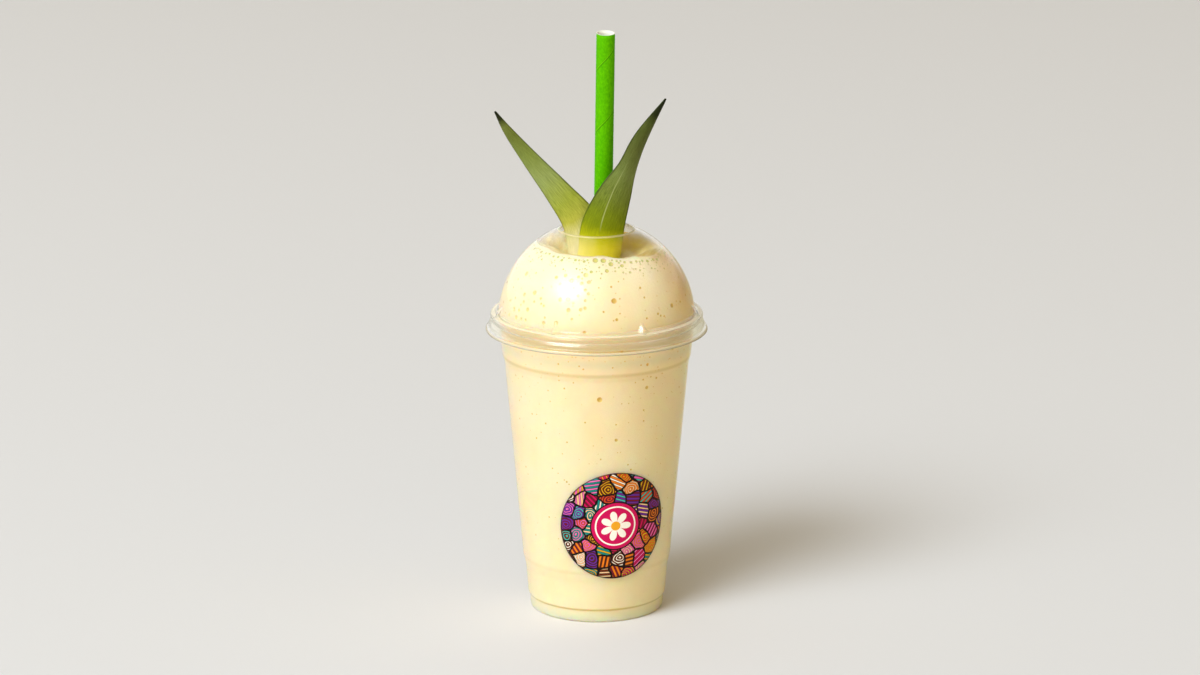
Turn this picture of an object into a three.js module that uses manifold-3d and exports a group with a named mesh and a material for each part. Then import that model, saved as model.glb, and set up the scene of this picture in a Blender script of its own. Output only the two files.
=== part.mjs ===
// A blended pineapple and coconut drink in a clear cup with a domed lid, a paper straw and two leaves.
// Millimetres, +Z up, origin at the middle of the cup's foot. The front is -Y, and +X is the front's right.
import * as THREE from "three";
import { mergeVertices } from "three/addons/utils/BufferGeometryUtils.js";
import Module from "manifold-3d";

const wasm = await Module();
wasm.setup();

// Shared
const GAP = 0.3;
const LEAF_SLOT_GAP = 0.5;
const ROUND_SEGMENTS = 36;

// Cup: outer radii of the wall and the heights that they are at
const CUP_WALL = 0.6;
const FLOOR_RISE = 2.5;
const FLOOR_R = 24.5;
const FOOT_INNER_R = 26.6;
const FOOT_OUTER_R = 30;
const HEEL_BOTTOM = { r: 31, z: 1.1 };
const HEEL_TOP = { r: 31.3, z: 5.9 };
const WALL_BOTTOM = { r: 32.1, z: 6.9 };
const SHOULDER_BOTTOM = { r: 33.2, z: 20.5 };
const SHOULDER_TOP = { r: 34.35, z: 25 };
const WALL_TOP = { r: 42.75, z: 118.8 };
const LEDGE_TOP = { r: 43.7, z: 121.6 };
const NECK_BOTTOM = { r: 44.7, z: 132 };
const NECK_TOP = { r: 44.9, z: 136.8 };

// Rolled rim of the cup: the middle of the roll and the radius of its hollow
const ROLL_CENTRE = { r: 46.3, z: 138.95 };
const ROLL_HOLLOW_R = 1.25;
const ROLL_END_ANGLE = -60;
const ROLL_STEPS = 6;

// Lid: a dome on a ring that snaps over the rolled rim, with a flared skirt
const LID_WALL = 0.5;
const LIP = { r: 51.4, z: 132.9 };
const SKIRT_BOTTOM = { r: 50.3, z: 134 };
const SKIRT_TOP = { r: 49.4, z: 138.6 };
const RING_EDGE = { r: 49.2, z: 140.6 };
const RING_CREST_OUTER = { r: 47.9, z: 141.7 };
const RING_CREST_INNER = { r: 46.4, z: 141.8 };
const DOME_FOOT_Z = 142.8;
const DOME_EQUATOR = { r: 45.6, z: 138 };
const DOME_RISE = 46.2;
const DOME_STEPS = 9;
const HOLE_R = 17;

// Lugs round the dome's foot, which part stacked lids
const LUG_COUNT = 7;
const LUG_START_ANGLE = 29;
const LUG_R = 1.7;
const LUG_LENGTH = 2.6;
const LUG_CENTRE = { r: 44.3, z: 145.4 };

// Drink: where it meets the dome, and the bowl that its top sinks to
const DRINK_LEVEL = 173.8;
const BOWL_DEPTH = 7;
const BOWL_FLAT_R = 10;
const BOWL_STEPS = 5;

// Straw: the middles of its foot and of its top, and its paper wall
const STRAW_FOOT = new THREE.Vector3(0.6, 24.3, 8);
const STRAW_TOP = new THREE.Vector3(4.2, -4.5, 272.9);
const STRAW_R = 4.3;
const STRAW_WALL = 0.5;
const STRAW_SEGMENTS = 24;

// Leaves: rows from the foot in the drink to the tip. half is half the width, turn is how far the face
// turns from the front towards the right, in degrees.
const LEAF_STATIONS = 18;
const LEAF_SIDE_POINTS = 6;
const LEAF_BULGE = 0.34;
const LEAF_THICK = 1.3;
const LEAF_EDGE_THICK = 0.5;
const LEFT_LEAF = [
  { x: 0.8, y: -1.2, z: 156, half: 8, turn: 0 },
  { x: -1.9, y: -2.2, z: 170.5, half: 8.8, turn: 0 },
  { x: -7.6, y: -3, z: 184.8, half: 8.2, turn: 0 },
  { x: -16.8, y: -4, z: 197.4, half: 6.4, turn: -5 },
  { x: -30.5, y: -5.5, z: 214.7, half: 4, turn: -10 },
  { x: -40.3, y: -7.5, z: 227.9, half: 2.2, turn: -14 },
  { x: -46.2, y: -9.5, z: 237.6, half: 0.4, turn: -16 },
];
const RIGHT_LEAF = [
  { x: -1, y: -6.2, z: 156, half: 9.2, turn: 0 },
  { x: 1.2, y: -7, z: 170.5, half: 9.8, turn: 0 },
  { x: 3.2, y: -8, z: 184, half: 9.9, turn: 4 },
  { x: 8.5, y: -9.2, z: 199.3, half: 7.6, turn: 16 },
  { x: 14, y: -10.4, z: 212, half: 4.7, turn: 34 },
  { x: 20.6, y: -12, z: 226.5, half: 3.5, turn: 38 },
  { x: 31.4, y: -14.5, z: 244.5, half: 0.4, turn: 38 },
];

// Sticker: a paper disc on the cup's wall, low on its front right
const STICKER_R = 26;
const STICKER_THICK = 0.3;
const STICKER_CENTRE_Z = 48.5;
const STICKER_ANGLE = 14;
const STICKER_RINGS = 6;
const STICKER_SEGMENTS = 36;

const rad = THREE.MathUtils.degToRad;

function point({ r, z }) {
  return new THREE.Vector2(r, z);
}

// Points on a circle in the profile's plane, from one angle to another in degrees
function arc(centre, radius, from, to, steps) {
  const points = [];
  for (let i = 0; i <= steps; i += 1) {
    const a = rad(from + ((to - from) * i) / steps);
    points.push(new THREE.Vector2(centre.r + radius * Math.cos(a), centre.z + radius * Math.sin(a)));
  }
  return points;
}

// A profile moved sideways by a distance, to the left of the way it runs. A point on the axis stays there.
function offset(points, distance) {
  return points.map((p, i) => {
    const before = points[Math.max(i - 1, 0)];
    const after = points[Math.min(i + 1, points.length - 1)];
    const come = i > 0 ? p.clone().sub(before).normalize() : after.clone().sub(p).normalize();
    const go = i < points.length - 1 ? after.clone().sub(p).normalize() : come.clone();
    const normal = new THREE.Vector2(-(come.y + go.y), come.x + go.x).normalize();
    const miter = distance / Math.max(normal.dot(new THREE.Vector2(-come.y, come.x)), 0.5);
    const moved = p.clone().addScaledVector(normal, miter);
    return p.x === 0 ? new THREE.Vector2(0, p.y + distance) : moved;
  });
}

// A turned solid round the Z axis
function turned(profile, segments = ROUND_SEGMENTS) {
  return new THREE.LatheGeometry(profile, segments).rotateX(Math.PI / 2);
}

function solidOf(geometry) {
  const bare = geometry.clone();
  bare.deleteAttribute("normal");
  bare.deleteAttribute("uv");
  const merged = mergeVertices(bare, 1e-4);
  const corners = merged.index.array;
  const faces = [];
  for (let i = 0; i < corners.length; i += 3) {
    const [a, b, c] = [corners[i], corners[i + 1], corners[i + 2]];
    if (a !== b && b !== c && c !== a) faces.push(a, b, c);
  }
  const mesh = new wasm.Mesh({
    numProp: 3,
    vertProperties: new Float32Array(merged.attributes.position.array),
    triVerts: new Uint32Array(faces),
  });
  return new wasm.Manifold(mesh);
}

function geometryOf(solid) {
  const mesh = solid.getMesh();
  const geometry = new THREE.BufferGeometry();
  geometry.setAttribute("position", new THREE.BufferAttribute(mesh.vertProperties, 3));
  geometry.setIndex(new THREE.BufferAttribute(mesh.triVerts, 1));
  return geometry;
}

// The cup's outer side from the middle of the floor to its neck
function cupSide() {
  return [
    new THREE.Vector2(0, FLOOR_RISE),
    new THREE.Vector2(FLOOR_R, FLOOR_RISE),
    new THREE.Vector2(FOOT_INNER_R, 0),
    new THREE.Vector2(FOOT_OUTER_R, 0),
    ...[HEEL_BOTTOM, HEEL_TOP, WALL_BOTTOM, SHOULDER_BOTTOM, SHOULDER_TOP, WALL_TOP].map(point),
    ...[LEDGE_TOP, NECK_BOTTOM, NECK_TOP].map(point),
  ];
}

function cup() {
  const roll = arc(ROLL_CENTRE, ROLL_HOLLOW_R, 180, ROLL_END_ANGLE, ROLL_STEPS);
  const side = [...cupSide(), ...roll];
  return turned([...side, ...offset(side, CUP_WALL).reverse()]);
}

// The dome's outer side, part of an ellipse, from its foot to the height or the hole that it ends at
function domeSide(endHeight = domeHeight(HOLE_R)) {
  const angleAt = (z) => Math.asin((z - DOME_EQUATOR.z) / DOME_RISE);
  const foot = angleAt(DOME_FOOT_Z);
  const end = angleAt(endHeight);
  const points = [];
  for (let i = 0; i <= DOME_STEPS; i += 1) {
    const a = foot + ((end - foot) * i) / DOME_STEPS;
    const r = DOME_EQUATOR.r * Math.cos(a);
    points.push(new THREE.Vector2(r, DOME_EQUATOR.z + DOME_RISE * Math.sin(a)));
  }
  return points;
}

function domeHeight(r) {
  return DOME_EQUATOR.z + DOME_RISE * Math.sqrt(1 - (r / DOME_EQUATOR.r) ** 2);
}

// The lid's outer side, from the tip of the skirt to the edge of the hole
function lidSide() {
  const ring = [LIP, SKIRT_BOTTOM, SKIRT_TOP, RING_EDGE, RING_CREST_OUTER, RING_CREST_INNER];
  return [...ring.map(point), ...domeSide()];
}

// Everything inside the lid's wall, up to half the wall, as one solid
function lidInside() {
  const inner = offset(lidSide(), LID_WALL / 2);
  const bottom = inner[0].y;
  const top = inner[inner.length - 1].y;
  return solidOf(turned([new THREE.Vector2(0, bottom), ...inner, new THREE.Vector2(0, top)]));
}

function lug(angle) {
  const geometry = new THREE.CapsuleGeometry(LUG_R, LUG_LENGTH, 2, 8);
  geometry.rotateX(Math.PI / 2);
  geometry.translate(LUG_CENTRE.r * Math.sin(rad(angle)), -LUG_CENTRE.r * Math.cos(rad(angle)), LUG_CENTRE.z);
  return solidOf(geometry);
}

function lid() {
  const side = lidSide();
  const inner = offset(side, LID_WALL).reverse();
  let solid = solidOf(turned([...side, ...inner, side[0].clone()]));
  const inside = lidInside();
  for (let i = 0; i < LUG_COUNT; i += 1) {
    solid = solid.add(lug(LUG_START_ANGLE + (360 * i) / LUG_COUNT).subtract(inside));
  }
  return geometryOf(solid);
}

// One leaf: a channelled blade lofted along a curve. grow makes it thicker and longer at the foot all round.
function leaf(rows, grow = 0) {
  const middle = new THREE.CatmullRomCurve3(rows.map((row) => new THREE.Vector3(row.x, row.y, row.z)));
  const shape = new THREE.CatmullRomCurve3(rows.map((row) => new THREE.Vector3(row.half, row.turn, 0)));
  const positions = [];
  const ringSize = 2 * LEAF_SIDE_POINTS;
  for (let i = 0; i < LEAF_STATIONS; i += 1) {
    const t = i / (LEAF_STATIONS - 1);
    const along = middle.getTangent(t);
    const centre = middle.getPoint(t);
    if (i === 0) centre.addScaledVector(along, -grow);
    if (i === LEAF_STATIONS - 1) centre.addScaledVector(along, grow);
    const { x: half, y: turn } = shape.getPoint(t);
    const facing = new THREE.Vector3(Math.sin(rad(turn)), -Math.cos(rad(turn)), 0);
    const across = along.clone().cross(facing).normalize();
    const outward = across.clone().cross(along).normalize();
    for (let k = 0; k < ringSize; k += 1) {
      const onFront = k < LEAF_SIDE_POINTS;
      const step = onFront ? k : ringSize - 1 - k;
      const u = (2 * step) / (LEAF_SIDE_POINTS - 1) - 1;
      const body = 1 - u * u;
      const thick = Math.min(LEAF_EDGE_THICK + (LEAF_THICK - LEAF_EDGE_THICK) * body, half) / 2 + grow;
      const rise = LEAF_BULGE * half * (body - 0.5) + (onFront ? thick : -thick);
      const p = centre.clone().addScaledVector(across, u * (half + grow)).addScaledVector(outward, rise);
      positions.push(p.x, p.y, p.z);
    }
  }
  const faces = [];
  for (let i = 0; i < LEAF_STATIONS - 1; i += 1) {
    for (let k = 0; k < ringSize; k += 1) {
      const a = i * ringSize + k;
      const b = i * ringSize + ((k + 1) % ringSize);
      faces.push(a, b, b + ringSize, a, b + ringSize, a + ringSize);
    }
  }
  const last = (LEAF_STATIONS - 1) * ringSize;
  for (let k = 0; k < LEAF_SIDE_POINTS - 1; k += 1) {
    const [a, b, c, d] = [k, k + 1, ringSize - 2 - k, ringSize - 1 - k];
    faces.push(a, c, b, a, d, c);
    faces.push(last + a, last + b, last + c, last + a, last + c, last + d);
  }
  const geometry = new THREE.BufferGeometry();
  geometry.setAttribute("position", new THREE.Float32BufferAttribute(positions, 3));
  geometry.setIndex(faces);
  return geometry;
}

// A tube from the foot to the top of the straw, as a turned ring that is then leant over
function strawTube(inner, outer, extra) {
  const length = STRAW_FOOT.distanceTo(STRAW_TOP);
  const ring = [
    new THREE.Vector2(outer, -extra),
    new THREE.Vector2(outer, length),
    new THREE.Vector2(inner, length),
    new THREE.Vector2(inner, -extra),
    new THREE.Vector2(outer, -extra),
  ];
  return turned(ring, STRAW_SEGMENTS);
}

function placeStraw(object) {
  const lean = STRAW_TOP.clone().sub(STRAW_FOOT).normalize();
  object.position.copy(STRAW_FOOT);
  object.quaternion.setFromUnitVectors(new THREE.Vector3(0, 0, 1), lean);
  object.updateMatrix();
  return object;
}

// The drink's outline: up inside the cup and the dome to its level, then down into the bowl of its top
function drinkProfile() {
  const inCup = offset(cupSide(), CUP_WALL + GAP);
  const inDome = offset(domeSide(DRINK_LEVEL), LID_WALL + GAP);
  const edge = inDome[inDome.length - 1];
  const bowl = [];
  for (let i = 1; i <= BOWL_STEPS; i += 1) {
    const share = i / BOWL_STEPS;
    const fall = (BOWL_DEPTH * (1 - Math.cos(Math.PI * share))) / 2;
    bowl.push(new THREE.Vector2(edge.x + (BOWL_FLAT_R - edge.x) * share, edge.y - fall));
  }
  const bottom = bowl[bowl.length - 1].y;
  return [...inCup, ...inDome, ...bowl, new THREE.Vector2(0, bottom)];
}

function drink() {
  const slot = strawTube(STRAW_R - STRAW_WALL - GAP, STRAW_R + GAP, GAP);
  slot.applyMatrix4(placeStraw(new THREE.Object3D()).matrix);
  let solid = solidOf(turned(drinkProfile()));
  solid = solid.subtract(solidOf(slot));
  solid = solid.subtract(solidOf(leaf(LEFT_LEAF, LEAF_SLOT_GAP)));
  solid = solid.subtract(solidOf(leaf(RIGHT_LEAF, LEAF_SLOT_GAP)));
  return geometryOf(solid);
}

// The outer radius of the cup's long straight wall at a height
function wallRadius(z) {
  const share = (z - SHOULDER_TOP.z) / (WALL_TOP.z - SHOULDER_TOP.z);
  return SHOULDER_TOP.r + (WALL_TOP.r - SHOULDER_TOP.r) * share;
}

// A flat disc of a few rings, bent round the wall
function sticker() {
  const bottom = [];
  for (let i = 0; i <= STICKER_RINGS; i += 1) {
    bottom.push(new THREE.Vector2((STICKER_R * i) / STICKER_RINGS, 0));
  }
  const top = bottom.map((p) => new THREE.Vector2(p.x, STICKER_THICK)).reverse();
  const geometry = turned([...bottom, ...top], STICKER_SEGMENTS);
  const position = geometry.attributes.position;
  for (let i = 0; i < position.count; i += 1) {
    const z = STICKER_CENTRE_Z + position.getY(i);
    const r = wallRadius(z) + GAP + position.getZ(i);
    const a = rad(STICKER_ANGLE) + position.getX(i) / wallRadius(z);
    position.setXYZ(i, r * Math.sin(a), -r * Math.cos(a), z);
  }
  return geometry;
}

function addMesh(group, name, geometry, colour, roughness, more = {}) {
  const material = new THREE.MeshStandardMaterial({ color: colour, roughness, metalness: 0, ...more });
  const mesh = new THREE.Mesh(geometry, material);
  mesh.name = name;
  group.add(mesh);
  return mesh;
}

const pinaColada = new THREE.Group();
const clear = { transparent: true, opacity: 0.3 };
addMesh(pinaColada, "cup", cup(), 0xf2f4f2, 0.08, clear);
addMesh(pinaColada, "lid", lid(), 0xf2f4f2, 0.06, clear);
addMesh(pinaColada, "drink", drink(), 0xf8e6b4, 0.4);
placeStraw(addMesh(pinaColada, "straw", strawTube(STRAW_R - STRAW_WALL, STRAW_R, 0), 0x4fb800, 0.7));
addMesh(pinaColada, "leaf_left", leaf(LEFT_LEAF), 0x7d8c3c, 0.5);
addMesh(pinaColada, "leaf_right", leaf(RIGHT_LEAF), 0x6f7f34, 0.5);
addMesh(pinaColada, "sticker", sticker(), 0xd01c6a, 0.35);

export default pinaColada;
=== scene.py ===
import math
import random

import bpy
import numpy as np
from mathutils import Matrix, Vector, kdtree, noise


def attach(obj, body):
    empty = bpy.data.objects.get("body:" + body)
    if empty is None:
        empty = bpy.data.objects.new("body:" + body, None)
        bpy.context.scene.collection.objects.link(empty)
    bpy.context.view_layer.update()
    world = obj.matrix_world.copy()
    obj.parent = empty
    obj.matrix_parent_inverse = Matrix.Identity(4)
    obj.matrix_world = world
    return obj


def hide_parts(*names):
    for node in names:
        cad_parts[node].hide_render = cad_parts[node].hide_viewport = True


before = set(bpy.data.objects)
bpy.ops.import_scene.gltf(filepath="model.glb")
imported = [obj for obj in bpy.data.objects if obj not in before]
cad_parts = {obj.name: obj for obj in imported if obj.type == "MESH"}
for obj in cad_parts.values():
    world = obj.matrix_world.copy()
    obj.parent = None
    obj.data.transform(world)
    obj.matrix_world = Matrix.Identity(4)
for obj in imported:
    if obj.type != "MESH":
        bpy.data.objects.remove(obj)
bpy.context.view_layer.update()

MM = 0.001

# Cup: outer side of the wall as (radius, height), and the rolled rim
CUP_WALL = 0.6
CUP_SIDE = [
    (2.0, 2.5), (24.5, 2.5), (26.6, 0.0), (30.4, 0.0), (31.0, 0.7), (31.3, 5.9), (32.1, 6.9),
    (33.2, 20.5), (34.35, 25.0), (42.75, 118.8), (43.7, 121.6), (44.7, 132.0), (44.9, 136.8),
]
CUP_FILLET = 1.0
CUP_STEP = 3.0
CUP_COLUMNS = 192
SHOULDER_TOP = (34.35, 25.0)
WALL_TOP = (42.75, 118.8)
ROLL_CENTRE = (46.3, 138.95)
ROLL_HOLLOW_R = 1.25
ROLL_START = 180
ROLL_END = -60
ROLL_STEPS = 24
RIM_FROM_Z = 134.8

# Lid: the ring runs from the lip to the crown, and the dome rises from its foot to the hole
LID_WALL = 0.35
LID_RING = [
    (51.4, 133.6), (50.6, 135.0), (49.9, 135.6), (49.7, 137.0), (48.8, 138.6), (49.3, 140.3), (48.8, 141.4),
    (47.6, 141.9), (46.4, 141.8),
]
LID_FILLET = 0.35
LID_STEP = 1.5
LIP_WIDTH = 0.1
SKIRT_TOP_Z = 135.3
CROWN_START = (47.0, 141.25)
DOME_FOOT_Z = 142.8
DOME_R = 45.6
DOME_CENTRE_Z = 138.0
DOME_RISE = 46.2
DOME_FOOT_STEPS = 14
DOME_STEPS = 40
HOLE_R = 17.0
HOLE_BEAD_R = 0.18
BEAD_WIDTH = 0.03
BEAD_WRAP = 60
BEAD_STEPS = 10
LUG_ROOM = 1
RING_ROOM = 0.5
# How thick the ring counts: its share grows over this height above the lip, and is at least this
RING_FADE = 5.0
RING_LEAST = 0.4

# Lugs round the dome's foot. They end at LUG_REACH_R, so that the ring keeps its shape.
LUG_COUNT = 7
LUG_START = 27.3
LUG_HALF_WIDTH = 2.2
LUG_FOOT_Z = 141.0
LUG_TOP_Z = 147.0
LUG_RISE = 2.2
LUG_FULLNESS = 1.15
LUG_REACH_R = 47.6
LUG_MARGIN = 1.3
LUG_COLUMNS = 15
BETWEEN_COLUMNS = 24

# Drink: how far it reaches into the walls, where it meets the dome, and the bowl of its top
DRINK_REACH = 0.3
LID_REACH = LID_WALL / 2
DRINK_COLUMNS = 240
DRINK_DOME_ROWS = 34
DRINK_TOP_ROWS = 46
DRINK_LEVEL = 173.8
LEVEL_LEFT_RISE = 0.8
LEVEL_RIGHT_FALL = 2.0
# Waves of the contact line: height, how many round the dome, and where they start
CONTACT_WAVES = [(0.25, 5, 40), (0.15, 11, 0)]
BOWL_DEPTH = 7.0
BOWL_FLAT_R = 10.0
# Relief of the top: its lumps, folds and grain, and the share of the way in from which it is whole
LUMP_SIZE, LUMP_HEIGHT = 10.0, 1.5
FOLD_WIDTH, FOLD_HEIGHT = 3.4, 1.4
GRAIN_SIZE, GRAIN_HEIGHT = 2.2, 0.22
RELIEF_WHOLE_AT = 0.12
# How folds and streaks wind for each millimetre outwards, how far they swing, and how wide streaks are
SWIRL_WINDING = 0.09
SWIRL_SWING = 1.3
STREAK_WIDTH = 3.0

# The drink under the wall and its free top: name, pale and deep colour, how foamy, how streaked, how glossy,
# how much light goes in, and how far
SKIN_LOOK = ("drink_skin", (251, 233, 198), (248, 226, 178), 0.4, 0.0, 0.45, 1.0, 14.0)
# The top's more saturated colours are partly painted: they stand in for the warm light that the bowl throws
# back on itself
TOP_LOOK = ("drink_top", (255, 243, 192), (253, 232, 156), 0.0, 0.9, 0.12, 0.5, 3.0)
# How far red, green and blue light goes into the drink, next to each other
DRINK_SCATTER = (1.0, 0.55, 0.18)
# The drink grows paler with foam between these heights
FOAM_FROM = 140.0
FOAM_TO = 168.0
FOAM_COLOUR = (254, 242, 214)
STREAK_COLOUR = (232, 212, 158)
# Painted shade: bands on the drink where the wall's steps, the rim and the ring shade it. Each band: height,
# half the width, strength and colour
BAND_SHADE_COLOUR = (206, 199, 128)
# A cooler, greyer painted shade for the band under the lip
NECK_SHADE_COLOUR = (222, 242, 250)
SHADE_BANDS = [
    (6.3, 0.9, 0.75, BAND_SHADE_COLOUR), (24.9, 1.6, 0.14, BAND_SHADE_COLOUR), (121.8, 1.5, 0.45, BAND_SHADE_COLOUR),
    (127.5, 4.6, 0.5, NECK_SHADE_COLOUR), (134.9, 3.8, 0.75, BAND_SHADE_COLOUR), (139.9, 0.6, 0.6, BAND_SHADE_COLOUR),
]
# Painted shade on the drink in places: place, radius and colour. Three lie in the bowl, where the leaves and
# the bowl's sides shade it, and one on the dome's right, its shaded side.
SHADED_PLACES = [
    ((14.0, 14.0, 169.0), 22.0, (230, 211, 42)), ((-20.5, 5.0, 172.0), 8.0, (249, 243, 224)),
    ((21.5, -10.0, 170.5), 13.0, (208, 190, 122)), ((44.0, -12.0, 158.0), 26.0, (244, 236, 208)),
]

# Bubbles against the clear wall: angle, height and radius of the larger ones that the photograph shows
SHOWN_BUBBLES = [
    (11, 156.6, 1.35), (-7, 153.6, 0.9), (-7, 142.9, 0.85), (12, 148.5, 0.75), (52, 151.0, 1.1),
    (-46, 145.2, 0.8), (-36, 153.7, 0.7), (8, 168.8, 1.0), (-4, 168.5, 0.8), (-13, 166.4, 0.8),
    (-1, 172.8, 1.35), (6, 172.7, 1.35), (12, 171.3, 1.25), (21, 170.4, 0.95), (26, 167.6, 0.7),
    (-31, 172.1, 0.8), (-49, 165.5, 0.6), (15, 133.7, 0.75), (32, 125.9, 0.75), (40, 118.4, 0.6),
    (2, 110.5, 1.3), (13, 90.6, 0.8), (33, 114.6, 0.9), (30, 118.7, 0.5), (32, 98.5, 0.45),
    (24, 75.5, 0.5), (-21, 69.7, 0.5),
]
SEED = 7
# Scattered bubbles: how many, between which radii, how far small ones prevail, and where. The first three
# groups lie evenly between two angles and two heights.
FAINT_ANGLES, FAINT_HEIGHTS = (-66, -4), (145.0, 167.5)
BACK_BUBBLES = (34, (0.5, 1.1), 2.0, (60, 300), (60, 168))
FAINT_BUBBLES = (52, (0.7, 1.25), 1.0, FAINT_ANGLES, FAINT_HEIGHTS)
DOME_BUBBLES = (190, (0.24, 0.66), 2.2, (0, 360), (143.5, 168))
# A row under the contact line, froth below it, and specks down the cup
ROW_COUNT, ROW_RADII, ROW_SHIFT, ROW_GAPS = 62, (0.5, 0.88), 2, (0.3, 0.8)
FROTH_COUNT, FROTH_RADII, FROTH_POWER = 520, (0.22, 0.6), 1.1
FROTH_GAP, FROTH_DEPTH, FROTH_CROWDING = 0.35, 5.5, 2.2
BODY_COUNT, BODY_RADII, BODY_POWER = 340, (0.2, 0.5), 1.6
BODY_MIDDLE, BODY_TOP, BODY_DEPTH, BODY_CROWDING = 30, 131.0, 96, 1.6
# Least room between two bubbles, as a share of their radii and a gap
ROOM_SHARE, ROOM_GAP = 1.06, 0.04
# Bubbles whose middles lie further apart than this can't touch
CELL_SIZE = 3
# A bubble's pit: a lens whose rings are (radius, height), next to its radius and its depth
BUBBLE_DEPTH = 0.4
LENS_SIDES = 14
LENS_RINGS = [(0.4, -0.84), (0.75, -0.44), (1.0, 0.0), (1.0, 0.5)]
LENS_FOOT, LENS_TOP = -1.0, 0.6
SHARP_ANGLE = 35
# Bubbles grow green from this height on, over this distance, and those at the dome's left are faint
FROTH_FROM = 164.0
FROTH_FADE = 3.0
FAINTNESS = 0.55
FAINT_COLOUR = (248, 240, 182)
# Pits grow darker and more orange towards their middles: painted shade of the hollow
BUBBLE_ORANGES = [(0.0, (237, 209, 140)), (0.3, (223, 188, 100)), (0.9, (214, 174, 76))]
BUBBLE_GREENS = [
    (0.0, (226, 214, 168)), (0.1, (210, 200, 142)), (0.45, (214, 207, 122)), (0.9, (224, 216, 118)),
]

# Clear plastics: name, tint, roughness, how clear, and how much they bend light
CUP_PLASTIC = ("clear_plastic", (0.985, 0.985, 0.98, 1), 0.135, 1.0, 1.34)
# The ring's tan tint is partly its own colour and partly painted shade over the drink seen through it
RING_PLASTIC = ("plastic_ring", (0.955, 0.955, 0.865, 1), 0.12, 0.9, 1.34)
LIP_PLASTIC = ("plastic_edge", (0.955, 0.91, 0.74, 1), 0.26, 0.58, 1.3)
BEAD_PLASTIC = ("plastic_bead", (0.93, 0.89, 0.62, 1), 0.35, 0.72, 1.25)
THICK_TINT = (0.95, 0.915, 0.83, 1)

# Straw: a paper strip wound with this pitch. Angles are in degrees from the strip's edge.
STRAW_FOOT = Vector((0.6, 24.3, 8.0))
STRAW_TOP = Vector((4.2, -4.5, 272.9))
STRAW_R = 4.3
STRAW_WALL = 0.5
STRAW_PITCH = 29.6
STRAW_STEP = 1.5
SEAM_START = 52.0
SEAM_FADE = 9.0
PLAIN_TO, PLAIN_COLUMNS = 352, 42
# The painted highlight line along the strip's edge starts at this angle
HIGHLIGHT_LINE_FROM = 354
GROOVE_DEPTH, GROOVE_WIDTH = 0.09, 2.4
STRIP_STEP, STRIP_STEP_WIDTH = 0.05, 40

# Leaves: rows of x, y, z, half the width, and the turn of the face to the right in degrees
LEFT_LEAF = [
    (0.0, -1.2, 156.0, 9.0, 0.0), (-2.5, -2.2, 170.5, 10.4, 0.0), (-7.7, -3.0, 184.8, 8.4, 0.0),
    (-16.8, -4.0, 197.4, 6.4, -5.0), (-30.5, -5.5, 214.7, 4.0, -10.0), (-40.3, -7.5, 227.9, 2.2, -14.0),
    (-46.2, -9.5, 237.6, 0.4, -16.0),
]
RIGHT_LEAF = [
    (-1.0, -6.2, 156.0, 9.2, 0.0), (1.2, -7.0, 170.5, 9.8, 0.0), (3.2, -8.0, 184.0, 9.9, 4.0),
    (8.8, -9.2, 199.3, 7.9, 16.0), (14.5, -10.4, 212.0, 5.4, 34.0), (20.8, -12.0, 226.5, 4.0, 38.0),
    (31.4, -14.5, 244.5, 0.4, 38.0),
]
LEAF_ROWS = 120
LEAF_COLUMNS = 26
LEAF_BULGE = 0.29
LEAF_THICK = 1.3
LEAF_EDGE_THICK = 0.4
RIB_HEIGHT = 0.05
RIB_TURNS = 34
RIB_WHOLE_AT = 4

# Leaf colours from the foot to the tip, at shares of the leaf's length
LEFT_LEAF_COLOURS = [
    (0.0, (255, 251, 219)), (0.26, (254, 249, 196)), (0.36, (214, 214, 92)), (0.46, (184, 196, 79)),
    (0.58, (169, 185, 114)), (0.68, (148, 164, 83)), (0.8, (125, 137, 62)), (0.87, (132, 142, 72)),
    (0.93, (52, 56, 22)), (1.0, (28, 30, 14)),
]
RIGHT_LEAF_COLOURS = [
    (0.0, (246, 238, 66)), (0.2, (231, 223, 34)), (0.28, (186, 192, 12)), (0.33, (142, 158, 6)),
    (0.4, (134, 152, 26)), (0.5, (131, 148, 64)), (0.62, (138, 155, 87)), (0.76, (114, 126, 66)),
    (0.89, (94, 107, 50)), (0.935, (42, 50, 14)), (1.0, (24, 28, 10)),
]

# Sticker: its disc, and the colours of its blobs and of the marks on them by chance
STICKER_R = 26.0
STICKER_GAP = 0.02
STICKER_THICK = 0.14
STICKER_Z = 48.5
STICKER_ANGLE = 14.0
STICKER_COLUMNS = 120
STICKER_RINGS = 12
BLOB_SCALE, BLOB_RANDOMNESS = 4.2, 0.8
BLOB_COLOURS = [
    (0.0, (196, 6, 84)), (0.14, (226, 90, 168)), (0.28, (16, 132, 128)), (0.41, (226, 120, 24)),
    (0.52, (104, 40, 150)), (0.64, (100, 38, 14)), (0.8, (236, 186, 140)), (0.88, (206, 70, 30)),
]
MARK_COLOURS = [
    (0.0, (244, 206, 160)), (0.12, (224, 172, 14)), (0.28, (70, 190, 180)), (0.42, (120, 16, 44)),
    (0.56, (236, 110, 184)), (0.7, (84, 34, 16)), (0.82, (246, 238, 224)), (0.9, (240, 130, 30)),
]
MARK_FROM = 0.25
PETAL_COUNT = 7

# Camera, fitted to the photograph
CAMERA_PLACE = (0.00159, -1.9, 0.628)
CAMERA_PITCH = 14.72
CAMERA_LENS = 127.2
CAMERA_NEAR = 0.05

# Floor: half its size in metres, its colour, and the warmer one of the light that its right throws back
FLOOR_HALF = 6.0
FLOOR_COLOUR = (0.768, 0.783, 0.808, 1)
FLOOR_BOUNCE_RIGHT = (0.71, 0.68, 0.53, 1)

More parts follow.
